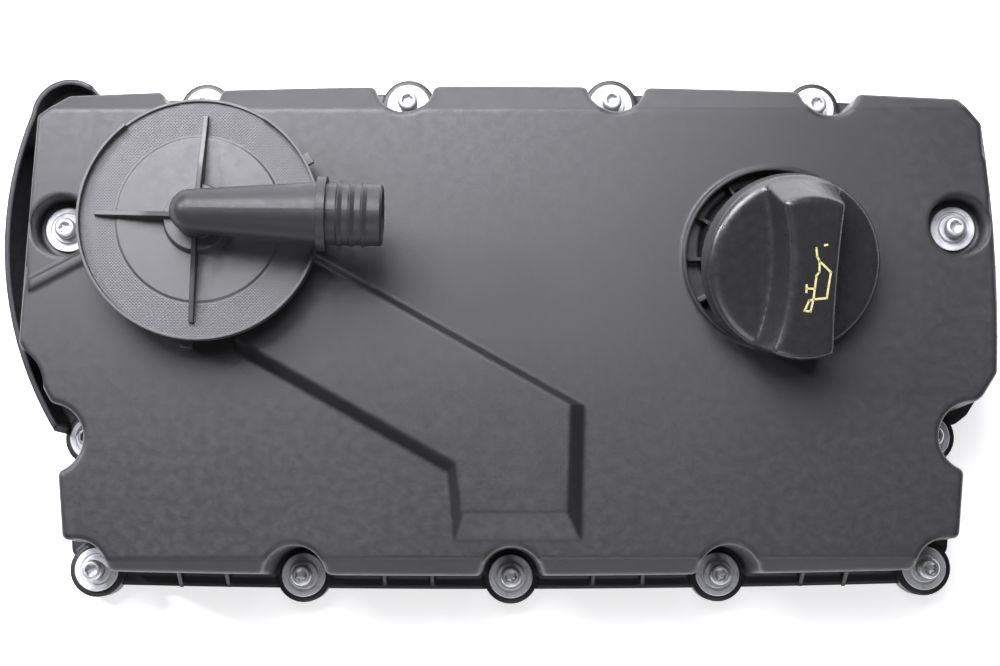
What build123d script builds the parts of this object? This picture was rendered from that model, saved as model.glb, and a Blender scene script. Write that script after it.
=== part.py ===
from build123d import *
import os
from math import cos, radians, sin, sqrt, tan

os.makedirs("parts", exist_ok=True)

# ------------------------------------------------------------------ driving sizes, mm
# z = 0 is the joint face, +X runs along the engine, +Y points to the rear,
# and the origin is the middle of the bolt pattern.

# bolt pattern
BORE_PITCH = 88.0  # cylinder spacing of the engine
FRONT_ROW_Y = 101.5  # distance of the front row's middle bolt
FRONT_ROW_BOW = 3.2  # how far the end bolts of that row stand back
REAR_ROW_Y = 102.2
REAR_ROW_BOW = 1.8
NOTCH_X, NOTCH_Y = 179.0, 42.5  # bolts in the two end notches
POCKET_X, POCKET_Y = 184.0, 42.5  # bolts in the two deep pockets

# shell
BODY_LEFT, BODY_RIGHT = 202.0, 200.0
ROOF_Z = 60.0
WALL = 3.2
ROOF = 3.2
DRAFT = 1.5  # degrees
FLANGE_T = 8.0
FLANGE_OUT = 5.5
FLANGE_IN = 3.4
FACET_DROP = 8.0  # height of the long facets at both edges of the roof
REAR_FACET, FRONT_FACET = 12.4, 8.1  # their widths in plan
CORNER_R = 3.0
EDGE_R = 2.0
GUSSET_T, GUSSET_H = 1.6, 9.0
ROOF_RIB_T, ROOF_RIB_H = 2.0, 8.0

# bolt stack
BOSS_R, BOSS_TOP = 11.6, 12.0
GROMMET_R, GROMMET_LIP_R, GROMMET_LIP_T, GROMMET_BASE = 6.6, 8.6, 1.2, 2.0
SLEEVE_R, SLEEVE_BORE_R = 4.8, 3.6
FIT = 0.1  # radial gap between the pieces of a bolt stack
WASHER_R, WASHER_T, WASHER_RING_R, WASHER_RING_T = 9.25, 1.0, 5.9, 1.0
HEAD_R, HEAD_T, HEAD_CHAMFER = 4.3, 4.4, 1.2
HEAD_LIFT, POCKET_HEAD_LIFT = 7.0, 1.5  # how far the heads stand off their washers
SHANK_R = 3.4
SOCKET_R, SOCKET_DEPTH = 2.5, 2.6
FRONT_CUT_R, REAR_CUT_R = 11.4, 10.8
NOTCH_CUT_R, NOTCH_CUT_OUT, NOTCH_ROOM_R, NOTCH_ROOM_TOP = 13.0, 9.0, 10.6, 42.0
LEFT_BEND_R = 17.5  # hollow curve above the left notch
POCKET_RIM_R, POCKET_DEPTH, POCKET_DRAFT = 12.6, 15.0, 4.0

# gasket
GASKET_W, GASKET_T, GROOVE_IN, GROOVE_GAP = 2.8, 3.3, 0.8, 0.1

# lip at the belt end
LIP_T, LIP_TOP, LIP_OUT, LIP_REAR = 2.2, 40.0, 8.9, 4.6
SHELF_TOP, SHELF_FRONT = 26.0, 22.0  # shelf behind the lip's rear end

# raised breather channel and the separator box under it
CHANNEL_X, CHANNEL_Y, CHANNEL_FRONT = 30.5, -32.0, -88.0
CHANNEL_W, CHANNEL_BEARING, CHANNEL_MOUTH = 51.5, 29.5, 57.0
CHANNEL_H = 6.0
BOX_WALL, BOX_Z = 2.2, 46.0
SEPARATOR_T, DRAIN_R, INLET_R = 2.0, 3.0, 5.0
BAND_W, BAND_H, BAND_BEARING, BAND_REACH = 6.8, 1.5, 27.5, 20.0

# breather valve
BREATHER_X, BREATHER_Y = -124.5, 41.4
BREATHER_TURN = -1.5  # degrees, bearing of the spout
BOWL_R, BOWL_WALL, BOWL_H = 41.5, 2.8, 19.0
PORT_R, PORTS, PORTS_FROM, PORT_STEP = 2.8, 3, -62.0, 12.0
LID_EDGE, LID_T, LID_RIM_H, LID_RIM_T = 2.4, 2.6, 6.0, 1.1
RIM_DIP_H, RIM_DIP, RIM_DIP_AT = 1.2, 70.0, 93.0  # low stretch of the rim and its bearing
LID_SKIRT_H, LID_SKIRT_T = 8.0, 1.8
CLIPS, CLIP_W, CLIP_OUT, CLIP_T, CLIP_STEP, CLIPS_FROM = 3, 4.8, 5.8, 3.0, 128.0, 33.0
LID_STEP_R, LID_STEP_H = 33.6, 0.5
HUB_R, HUB_H = 14.4, 5.4
SPOUT_H = 24.0  # spout axis above the seat of the lid
SPOUT_R0, SPOUT_R1, SPOUT_WALL, SPOUT_LEN = 8.5, 12.4, 2.2, 49.2
COLLAR_R, COLLAR_T = 14.6, 3.6
HOSE_R, HOSE_LEN, HOSE_WALL, BARB_H, BARB_W, BARB_PITCH = 12.0, 21.6, 2.2, 0.7, 2.6, 4.8
RIB_OUT, RIB_T, RIB_H, RIB_END_H, RIB_TURN = 41.6, 1.9, 10.0, 2.4, -2.0
TUBE_R = 9.2
LIFT = 3.5  # travel of the valve plate to its seat
PLATE_R, PLATE_T, PLATE_H = 16.0, 2.0, 8.0  # PLATE_H: its underside above the bowl floor
BEAD_R, BEAD_W, BEAD_T, LEDGE_H = 32.4, 3.2, 3.0, 3.5
WINDOWS, WINDOW_W, WINDOW_H, WINDOW_LIFT = 6, 10.0, 5.0, 3.0  # gas windows of the lid's inner ring
RUBBER_T, LOOP_R = 1.0, 3.4
SPRING_R, WIRE_R, COILS = 12.0, 0.6, 3.0

# oil filler
FILLER_X, FILLER_Y = 107.7, 28.7
FILLER_TILT, FILLER_BEARING = 19.0, -55.0  # degrees: lean of the neck and its bearing
WELL_R, WELL_WALL, WELL_RISE, WELL_DEPTH = 36.1, 1.5, 1.6, 11.0
WELL_RIBS, WELL_RIB_T, WELL_RIB_H = 12, 1.4, 7.0
NECK_R, NECK_BORE_R, NECK_RIM = 27.5, 24.0, 19.0
KEY_R, KEY_T, KEYS, KEY_ANGLE, KEY_PLAY = 21.6, 3.0, 3, 34.0, 6.0
CAP_R, CAP_SKIRT, CAP_TOP, CAP_WALL, CAP_ROUND = 36.4, 15.8, 27.5, 2.4, 4.0
GRIP_END_W, GRIP_WAIST, GRIP_H, GRIP_SLOPE, GRIP_ENDS = 25.4, 19.5, 16.5, 2.6, 4.4
GRIP_SHIFT, GRIP_LEAN = 2.0, 2.8  # the waist stands off the middle, the top off to the front
SEAL_R, SEAL_T = 26.6, 2.4
CORE_WALL, CORE_FLANGE_T = 2.2, 2.0
RUN = 0.3  # gap between parts that turn past each other


# ------------------------------------------------------------------ shared places
def front_y(x):
    """y of the front bolt row at x, a shallow bow."""
    return -FRONT_ROW_Y + FRONT_ROW_BOW * (x / (2 * BORE_PITCH)) ** 2


def rear_y(x):
    """y of the rear bolt row at x."""
    return REAR_ROW_Y - REAR_ROW_BOW * (x / (1.5 * BORE_PITCH)) ** 2


front_bolts = [(k * BORE_PITCH, front_y(k * BORE_PITCH)) for k in (-2, -1, 0, 1, 2)]
rear_bolts = [(k * BORE_PITCH, rear_y(k * BORE_PITCH)) for k in (-1.5, -0.5, 0.5, 1.5)]
notch_bolts = [(side * NOTCH_X, -NOTCH_Y) for side in (-1, 1)]
pocket_bolts_at = [(side * POCKET_X, POCKET_Y) for side in (-1, 1)]
flange_bolts_at = front_bolts + rear_bolts + notch_bolts
POCKET_FLOOR = ROOF_Z - POCKET_DEPTH
POCKET_LIFT = POCKET_FLOOR - BOSS_TOP
stack_places = [(x, y, 0) for x, y in flange_bolts_at]
stack_places += [(x, y, POCKET_LIFT) for x, y in pocket_bolts_at]

REAR_EDGE = REAR_ROW_Y + 0.9
FRONT_EDGE = -FRONT_ROW_Y
LENGTH = BODY_LEFT + BODY_RIGHT
SEAT_Z = ROOF_Z + BOWL_H  # where the breather lid sits

joint_plane = Plane.XY
flange_top = Plane.XY.offset(FLANGE_T)
roof_plane = Plane.XY.offset(ROOF_Z)
turn = radians(BREATHER_TURN)
spout_dir = Vector(cos(turn), sin(turn), 0)
breather = Plane(origin=(BREATHER_X, BREATHER_Y, ROOF_Z), x_dir=spout_dir, z_dir=(0, 0, 1))
spout_axis_plane = Plane(
    origin=(BREATHER_X, BREATHER_Y, SEAT_Z + SPOUT_H),
    x_dir=spout_dir,
    z_dir=(sin(turn), -cos(turn), 0),
)
band_way = radians(BAND_BEARING)
band_plane = Plane(
    origin=(15 - BODY_LEFT, REAR_ROW_Y - 79.5, ROOF_Z),
    x_dir=(-sin(band_way), cos(band_way), 0),
    z_dir=(cos(band_way), sin(band_way), 0),
)
lean, bearing = radians(FILLER_TILT), radians(FILLER_BEARING)
filler_dir = Vector(sin(lean) * cos(bearing), sin(lean) * sin(bearing), cos(lean))
filler = Plane(
    origin=(FILLER_X, FILLER_Y, ROOF_Z),
    x_dir=(cos(lean), 0, -sin(lean) * cos(bearing)),
    z_dir=filler_dir,
)

left_bend_at = (-BODY_LEFT - 5.6, -NOTCH_Y + 18.8)

# ------------------------------------------------------------------ outline of the walls
with BuildSketch(flange_top) as body_plan:
    with BuildLine():
        front_line = ThreePointArc(
            (20.5 - BODY_LEFT, FRONT_EDGE + 2.5), (0, FRONT_EDGE), (BODY_RIGHT - 19, FRONT_EDGE + 2.5)
        )
        right_step = Polyline(
            front_line @ 1,
            (BODY_RIGHT - 14.6, -NOTCH_Y - 10),
            (BODY_RIGHT - 14, -NOTCH_Y + 8),
            (BODY_RIGHT - 7, -NOTCH_Y + 13.5),
            (BODY_RIGHT - 0.6, -NOTCH_Y + 23.5),
        )
        right_end = ThreePointArc(
            right_step @ 1, (BODY_RIGHT, REAR_EDGE - 75), (BODY_RIGHT - 4.5, REAR_EDGE - 18)
        )
        rear_right = Line(right_end @ 1, (BODY_RIGHT - 14, REAR_EDGE - 6.4))
        rear_line = ThreePointArc(rear_right @ 1, (0, REAR_EDGE), (19 - BODY_LEFT, REAR_EDGE - 4.6))
        rear_left = Line(rear_line @ 1, (5.8 - BODY_LEFT, REAR_EDGE - 14))
        left_end = ThreePointArc(
            rear_left @ 1, (2 - BODY_LEFT, REAR_EDGE - 73), (-BODY_LEFT, -NOTCH_Y + 36.5)
        )
        Polyline(
            left_end @ 1,
            (16 - BODY_LEFT, -NOTCH_Y + 8),
            (16.6 - BODY_LEFT, -NOTCH_Y - 10),
            front_line @ 0,
        )
    make_face()
    with Locations(*front_bolts):
        Circle(FRONT_CUT_R, mode=Mode.SUBTRACT)
    with Locations(*rear_bolts):
        Circle(REAR_CUT_R, mode=Mode.SUBTRACT)
    with Locations(*[(side * (NOTCH_X + NOTCH_CUT_OUT), -NOTCH_Y - 2) for side in (-1, 1)]):
        Circle(NOTCH_CUT_R, mode=Mode.SUBTRACT)


def plan_offset(distance, height):
    """The wall outline, grown by distance, at a height."""
    with BuildSketch(Plane.XY.offset(height)) as grown:
        add(body_plan.sketch_local)
        offset(amount=distance)
    return grown.sketch


def seal_plan(distance):
    """The wall outline at the joint face, taken round the bolts of the end notches."""
    with BuildSketch(joint_plane) as sealed:
        add(plan_offset(distance, 0))
        with Locations(*notch_bolts):
            Circle(NOTCH_ROOM_R - distance, mode=Mode.SUBTRACT)
    return sealed.sketch


def facet_cutters(drop):
    """Wedges that cut the long facets along both edges of the roof, lowered by drop."""
    with BuildPart() as wedges:
        for edge, width, way in ((REAR_EDGE, REAR_FACET, 1), (FRONT_EDGE, FRONT_FACET, -1)):
            crease = edge - way * width
            with BuildSketch(Plane.YZ.offset(-LENGTH)):
                Polygon(
                    (crease, ROOF_Z - drop),
                    (crease + 3 * way * width, ROOF_Z - drop - 3 * FACET_DROP),
                    (crease + 3 * way * width, ROOF_Z + FACET_DROP),
                    (crease, ROOF_Z + FACET_DROP),
                    align=None,
                )
            extrude(amount=2 * LENGTH)
    return wedges.part


# ------------------------------------------------------------------ hollow of the shell
with BuildPart() as hollow:
    extrude(plan_offset(-WALL, FLANGE_T), amount=ROOF_Z - ROOF - FLANGE_T, taper=DRAFT)
    with BuildSketch(flange_top):
        with Locations(left_bend_at):
            Circle(LEFT_BEND_R + WALL)
    extrude(amount=ROOF_Z, mode=Mode.SUBTRACT)
    add(facet_cutters(ROOF * 1.2), mode=Mode.SUBTRACT)


def ring_sector(angle, inner, outer):
    """Sector of a ring, centred on +X."""
    half = radians(angle / 2)
    far = 2 * outer
    with BuildSketch() as sector:
        Circle(outer)
        Circle(inner, mode=Mode.SUBTRACT)
        Polygon(
            (0, 0), (far * cos(half), -far * sin(half)), (far * cos(half), far * sin(half)),
            align=None, mode=Mode.INTERSECT
        )
    return sector.sketch


def plan_prism(distance, bottom, top):
    """Straight prism of the wall outline, grown by distance."""
    with BuildPart() as prism:
        extrude(plan_offset(distance, bottom), amount=top - bottom)
    return prism.part


# ------------------------------------------------------------------ breather channel outline
channel_run = Vector(cos(radians(CHANNEL_BEARING)), -sin(radians(CHANNEL_BEARING)), 0)
CHANNEL_REACH = (CHANNEL_X - BREATHER_X) * 0.92 / channel_run.X


def channel_points(upper, right, front, left, lower):
    """Corners of the channel, each side moved inwards by its own distance."""
    corner = Vector(CHANNEL_X, CHANNEL_Y, 0)
    top_line = corner - Vector(0, upper / channel_run.X, 0)
    low_line = corner - Vector(0, (CHANNEL_W - lower) / channel_run.X, 0)
    slope = channel_run.Y / channel_run.X
    right_x = CHANNEL_X - right
    left_x = CHANNEL_X - CHANNEL_MOUTH + left
    far_x = CHANNEL_X - CHANNEL_REACH * channel_run.X
    front_y_here = CHANNEL_FRONT + front
    return [
        (right_x, top_line.Y - right * slope),
        (far_x, top_line.Y + (far_x - CHANNEL_X) * slope),
        (far_x, low_line.Y + (far_x - CHANNEL_X) * slope),
        (left_x, low_line.Y + (left_x - CHANNEL_X) * slope),
        (left_x + 2.5, front_y_here),
        (right_x - 1.5, front_y_here),
    ]


def channel_prism(inset, bottom, top):
    """Straight prism of the channel's crest, moved inwards by inset."""
    points = channel_points(3 + inset, 6.5 + inset, 13 + inset, 4 + inset, 5 + inset)
    with BuildPart() as prism:
        with BuildSketch(Plane.XY.offset(bottom)):
            Polygon(*points, align=None)
        extrude(amount=top - bottom)
    return prism.part


# ------------------------------------------------------------------ forms inside the hollow
POCKET_R = POCKET_RIM_R - POCKET_DEPTH * tan(radians(POCKET_DRAFT))
WELL_FLOOR = ROOF_Z - WELL_DEPTH
INSIDE_Z = ROOF_Z - ROOF
with BuildPart() as inner_forms:
    # cups and pillars of the two deep pockets
    with BuildSketch(Plane.XY.offset(POCKET_LIFT)):
        with Locations(*pocket_bolts_at):
            Circle(POCKET_RIM_R + WALL)
    extrude(amount=POCKET_DEPTH + BOSS_TOP)
    with BuildSketch(flange_top):
        with Locations(*pocket_bolts_at):
            Circle(GROMMET_LIP_R + WALL)
    extrude(amount=POCKET_LIFT - FLANGE_T)
    # rooms for the bolts in the end notches
    with BuildSketch(flange_top):
        with Locations(*notch_bolts):
            Circle(NOTCH_ROOM_R + WALL)
    extrude(amount=NOTCH_ROOM_TOP + WALL - FLANGE_T)
    # cup of the filler well
    with BuildSketch(Plane.XY.offset(WELL_FLOOR - WALL)):
        with Locations((FILLER_X, FILLER_Y)):
            Circle(WELL_R + WELL_WALL)
    extrude(amount=WELL_DEPTH + WALL)
    # walls of the separator box
    add(channel_prism(0, BOX_Z, ROOF_Z))
    add(channel_prism(BOX_WALL, BOX_Z, ROOF_Z), mode=Mode.SUBTRACT)
    # ribs across the roof
    with BuildSketch(Plane.XY.offset(INSIDE_Z - ROOF_RIB_H)):
        with Locations((-1.85 * BORE_PITCH, 0), (0.6 * BORE_PITCH, 0), (1.8 * BORE_PITCH, 0)):
            Rectangle(ROOF_RIB_T, REAR_EDGE - FRONT_EDGE)
    extrude(amount=ROOF_RIB_H)
    add(hollow.part, mode=Mode.INTERSECT)

# ------------------------------------------------------------------ forms outside the walls
LIP_X = -BODY_LEFT - LIP_OUT
lip_start = (-BODY_LEFT + 25, REAR_EDGE + 1)
lip_shoulder = (1.2 - BODY_LEFT, REAR_EDGE - 10)
lip_foot = (LIP_OUT + 7 - BODY_LEFT, -NOTCH_Y - 1.5)
with BuildLine(joint_plane) as lip_line:
    ThreePointArc(lip_start, (12 - BODY_LEFT, REAR_EDGE + LIP_REAR - 1.5), lip_shoulder)
    ThreePointArc(lip_shoulder, (LIP_X, REAR_EDGE - 67), lip_foot)

with BuildSketch(joint_plane) as flange_plan:
    add(plan_offset(FLANGE_OUT, 0))
    with Locations(*flange_bolts_at):
        Circle(BOSS_R)
    with BuildSketch(mode=Mode.PRIVATE) as ledge:
        with BuildLine():
            add(lip_line.line)
            Polyline(lip_foot, (30 - BODY_LEFT, -NOTCH_Y - 1.5), (30 - BODY_LEFT, REAR_EDGE - 6), lip_start)
        make_face()
    add(ledge.sketch)
    add(seal_plan(-WALL - FLANGE_IN), mode=Mode.SUBTRACT)

foot = channel_points(0, 0, 0, 0, 0)
crest = channel_points(3, 6.5, 13, 4, 5)
with BuildPart() as outer_forms:
    # flange, bosses and lip
    extrude(flange_plan.sketch, amount=FLANGE_T)
    with BuildSketch(joint_plane):
        with Locations(*flange_bolts_at):
            Circle(BOSS_R)
    extrude(amount=BOSS_TOP)
    with BuildSketch(joint_plane):
        trace(lip_line.line, line_width=LIP_T)
    extrude(amount=LIP_TOP)
    with BuildSketch(joint_plane):
        add(ledge.sketch)
        with Locations((-BODY_LEFT, REAR_EDGE)):
            Rectangle(2 * LIP_OUT + 50, 2 * SHELF_FRONT, mode=Mode.INTERSECT)
    extrude(amount=SHELF_TOP)
    extrude(seal_plan(-WALL - FLANGE_IN), amount=FLANGE_T, mode=Mode.SUBTRACT)
    add(plan_prism(-WALL / 2, FLANGE_T, LIP_TOP + 1), mode=Mode.SUBTRACT)
    # ribs on the front flange
    for place in (-1.6, -1.37, -0.61, -0.38, 0.4, 0.64, 1.41, 1.62):
        with BuildSketch(Plane.YZ.offset(place * BORE_PITCH)):
            Polygon(
                (FRONT_EDGE + WALL / 2, FLANGE_T - 1),
                (FRONT_EDGE - FLANGE_OUT + 1.0, FLANGE_T - 1),
                (FRONT_EDGE + WALL / 2, FLANGE_T + GUSSET_H),
                align=None,
            )
        extrude(amount=GUSSET_T / 2, both=True)

with BuildPart() as band:
    with BuildSketch(band_plane):
        Polygon(
            (-BAND_W / 2, -ROOF / 2),
            (BAND_W / 2, -ROOF / 2),
            (BAND_W / 4, BAND_H),
            (-BAND_W / 4, BAND_H),
            align=None,
        )
    extrude(amount=BAND_REACH, both=True)
    add(plan_prism(-WALL - EDGE_R / 2, INSIDE_Z, ROOF_Z + 2 * BAND_H), mode=Mode.INTERSECT)

with BuildPart() as roof_forms:
    # raised channel
    with BuildSketch(roof_plane.offset(-1)):
        Polygon(*foot, align=None)
    with BuildSketch(roof_plane.offset(CHANNEL_H)):
        Polygon(*crest, align=None)
    loft(ruled=True)
    # low band beside the breather
    add(band.part)
    # breather bowl and the rim of the filler well
    with BuildSketch(breather.offset(-ROOF)):
        Circle(BOWL_R + BOWL_WALL)
    extrude(amount=BOWL_H + ROOF)
    with BuildSketch(roof_plane.offset(-ROOF)):
        with Locations((FILLER_X, FILLER_Y)):
            Circle(WELL_R + WELL_WALL)
    extrude(amount=ROOF + WELL_RISE)

with BuildPart() as channel_hollow:
    add(channel_prism(BOX_WALL, INSIDE_Z - 1, ROOF_Z + CHANNEL_H - ROOF))
    with BuildSketch(breather.offset(-ROOF)):
        Circle(BOWL_R + BOWL_WALL)
    extrude(amount=BOWL_H, mode=Mode.SUBTRACT)

with BuildPart() as shell_cuts:
    add(channel_hollow.part)
    # inside of the bowl, and its gas ports
    with BuildSketch(breather):
        Circle(BOWL_R)
    extrude(amount=BOWL_H + 1)
    with BuildSketch(breather.offset(-2 * ROOF)):
        with PolarLocations(
            (BOWL_R + BEAD_R + BEAD_W / 2) / 2,
            PORTS,
            start_angle=PORTS_FROM,
            angular_range=PORTS * PORT_STEP,
        ):
            Circle(PORT_R)
    extrude(amount=3 * ROOF)
    # filler well
    with BuildSketch(Plane.XY.offset(WELL_FLOOR)):
        with Locations((FILLER_X, FILLER_Y)):
            Circle(WELL_R)
    extrude(amount=WELL_DEPTH + WELL_RISE + 1)
    # deep pockets and the pillars under them
    with BuildSketch(Plane.XY.offset(POCKET_FLOOR)):
        with Locations(*pocket_bolts_at):
            Circle(POCKET_R)
    extrude(amount=POCKET_DEPTH + CHANNEL_H, taper=-POCKET_DRAFT)
    with BuildSketch(joint_plane.offset(-1)):
        with Locations(*pocket_bolts_at):
            Circle(GROMMET_LIP_R)
    extrude(amount=POCKET_LIFT + 1)
    # rooms round the bolts in the end notches
    with BuildSketch(Plane.XY.offset(BOSS_TOP)):
        with Locations(*notch_bolts):
            Circle(NOTCH_ROOM_R)
    extrude(amount=NOTCH_ROOM_TOP - BOSS_TOP)
    # holes of the bolt stacks
    with BuildSketch(joint_plane.offset(-1)):
        with Locations(*flange_bolts_at, *pocket_bolts_at):
            Circle(GROMMET_R + FIT)
    extrude(amount=POCKET_FLOOR + 2)
    # groove for the gasket
    with BuildSketch(joint_plane.offset(-1)):
        add(seal_plan(-GROOVE_IN))
        add(seal_plan(-GROOVE_IN - GASKET_W - 2 * GROOVE_GAP), mode=Mode.SUBTRACT)
    extrude(amount=1 + GASKET_T + GROOVE_GAP)

# ------------------------------------------------------------------ neck of the oil filler
KEY_LOW = NECK_RIM - KEY_T - 2
with BuildPart() as neck:
    with BuildSketch(filler.offset(-2 * WELL_DEPTH)):
        Circle(NECK_R)
    extrude(amount=2 * WELL_DEPTH + NECK_RIM)
    with BuildSketch(Plane.XY.offset(WELL_FLOOR - WALL / 2)):
        with Locations((FILLER_X, FILLER_Y)):
            Circle(WELL_R + WELL_WALL / 2)
    extrude(amount=WALL / 2)
    with BuildSketch(Plane.XY.offset(WELL_FLOOR - WALL / 2)):
        with Locations((FILLER_X, FILLER_Y)):
            with PolarLocations((WELL_R + NECK_BORE_R) / 2, WELL_RIBS):
                Rectangle(WELL_R - NECK_BORE_R + WELL_WALL, WELL_RIB_T)
    extrude(amount=WALL / 2 + WELL_RIB_H)
    split(bisect_by=Plane.XY.offset(WELL_FLOOR - WALL / 2))
    with BuildSketch(filler.offset(-3 * WELL_DEPTH)):
        Circle(NECK_BORE_R)
    extrude(amount=3 * WELL_DEPTH + NECK_RIM + 1, mode=Mode.SUBTRACT)
    with BuildSketch(filler.offset(KEY_LOW)):
        with PolarLocations(0, KEYS, start_angle=180 / KEYS):
            add(ring_sector(360 / KEYS - KEY_ANGLE - KEY_PLAY, KEY_R, NECK_BORE_R + 1))
    extrude(amount=KEY_T)

# ------------------------------------------------------------------ cover shell
with BuildPart() as cover_shell:
    extrude(body_plan.sketch, amount=ROOF_Z - FLANGE_T, taper=DRAFT)
    uprights = cover_shell.edges().filter_by(
        lambda e: e.bounding_box().size.Z > ROOF_Z - FLANGE_T - 0.5
    )
    fillet(uprights, CORNER_R)
    add(facet_cutters(0), mode=Mode.SUBTRACT)
    rim = cover_shell.edges().filter_by(
        lambda e: e.center().Z > ROOF_Z - FACET_DROP - 3
        and e.bounding_box().size.Z < FACET_DROP + 2
    )
    fillet(rim, EDGE_R)
    with BuildSketch(flange_top):
        with Locations(left_bend_at):
            Circle(LEFT_BEND_R)
    extrude(amount=ROOF_Z, mode=Mode.SUBTRACT)
    add(hollow.part, mode=Mode.SUBTRACT)
    add([inner_forms.part, outer_forms.part, roof_forms.part])
    add(shell_cuts.part, mode=Mode.SUBTRACT)
    # bore of the filler neck through the floor of its well, then the neck itself
    with BuildSketch(filler.offset(-3 * WELL_DEPTH)):
        Circle(NECK_BORE_R)
    extrude(amount=3 * WELL_DEPTH, mode=Mode.SUBTRACT)
    add(neck.part)
    # ledge for the rim of the diaphragm
    with BuildSketch(breather.offset(-ROOF / 2)):
        Circle(BEAD_R + BEAD_W / 2 + FIT)
        Circle(BEAD_R - BEAD_W / 2 - 0.5, mode=Mode.SUBTRACT)
    extrude(amount=LEDGE_H + ROOF / 2)
cover_shell.part.label = "cover_shell"

# ------------------------------------------------------------------ gasket
with BuildPart() as cover_gasket:
    with BuildSketch(joint_plane):
        add(seal_plan(-GROOVE_IN - GROOVE_GAP))
        add(seal_plan(-GROOVE_IN - GROOVE_GAP - GASKET_W), mode=Mode.SUBTRACT)
    extrude(amount=GASKET_T)
cover_gasket.part.label = "cover_gasket"

# ------------------------------------------------------------------ separator plate
with BuildPart() as separator_plate:
    add(channel_prism(0, BOX_Z - SEPARATOR_T, BOX_Z))
    plate_mid = separator_plate.part.center()
    with Locations((plate_mid.X, plate_mid.Y, BOX_Z)):
        with GridLocations(4 * INLET_R, 1, 3, 1):
            Hole(INLET_R)
    with Locations((CHANNEL_X - CHANNEL_MOUTH / 2, CHANNEL_FRONT + 5 * DRAIN_R + 10, BOX_Z)):
        Hole(DRAIN_R)
separator_plate.part.label = "separator_plate"


# ------------------------------------------------------------------ bolt stacks
def ring_profile(*points):
    """Half section of a turned piece in the XZ plane."""
    with BuildSketch(Plane.XZ) as section:
        Polygon(*points, align=None)
    return section.sketch


def on_stacks(piece, places):
    """Copies of one piece, one on each bolt place."""
    return Compound(children=[piece.moved(Location(place)) for place in places])


WASHER_Z = BOSS_TOP + GROMMET_LIP_T
RING_Z = WASHER_Z + WASHER_T + WASHER_RING_T
with BuildPart() as sleeve:
    revolve(
        ring_profile(
            (SLEEVE_BORE_R, 0), (SLEEVE_R, 0), (SLEEVE_R, WASHER_Z), (SLEEVE_BORE_R, WASHER_Z)
        )
    )
bolt_sleeves = on_stacks(sleeve.part, stack_places)
bolt_sleeves.label = "bolt_sleeves"

with BuildPart() as grommet:
    revolve(
        ring_profile(
            (SLEEVE_R + FIT, GROMMET_BASE),
            (GROMMET_R, GROMMET_BASE),
            (GROMMET_R, BOSS_TOP),
            (GROMMET_LIP_R, BOSS_TOP),
            (GROMMET_LIP_R, WASHER_Z),
            (SLEEVE_R + FIT, WASHER_Z),
        )
    )
bolt_grommets = on_stacks(grommet.part, stack_places)
bolt_grommets.label = "bolt_grommets"

with BuildPart() as washer:
    revolve(
        ring_profile(
            (SHANK_R + 2 * FIT, WASHER_Z),
            (WASHER_R, WASHER_Z),
            (WASHER_R, WASHER_Z + WASHER_T),
            (WASHER_RING_R + WASHER_RING_T / 2, WASHER_Z + WASHER_T),
            (WASHER_RING_R, RING_Z),
            (SHANK_R + 2 * FIT, RING_Z),
        )
    )
bolt_washers = on_stacks(washer.part, stack_places)
bolt_washers.label = "bolt_washers"


def captive_bolt(head_z):
    """Round-head bolt with a star socket, its tip at the joint face."""
    with BuildPart() as bolt:
        revolve(
            ring_profile(
                (0, 0),
                (SHANK_R - 1, 0),
                (SHANK_R, 1),
                (SHANK_R, head_z),
                (HEAD_R, head_z),
                (HEAD_R, head_z + HEAD_T - HEAD_CHAMFER),
                (HEAD_R - HEAD_CHAMFER, head_z + HEAD_T),
                (0, head_z + HEAD_T),
            )
        )
        with BuildSketch(Plane.XY.offset(head_z + HEAD_T - SOCKET_DEPTH)):
            RegularPolygon(SOCKET_R, 3)
            RegularPolygon(SOCKET_R, 3, rotation=180)
        extrude(amount=SOCKET_DEPTH + 1, mode=Mode.SUBTRACT)
    return bolt.part


flange_bolts = on_stacks(
    captive_bolt(RING_Z + HEAD_LIFT), [(x, y, 0) for x, y in flange_bolts_at]
)
flange_bolts.label = "flange_bolts"
pocket_bolts = on_stacks(
    captive_bolt(RING_Z + POCKET_LIFT + POCKET_HEAD_LIFT), [(x, y, 0) for x, y in pocket_bolts_at]
)
pocket_bolts.label = "pocket_bolts"

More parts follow.
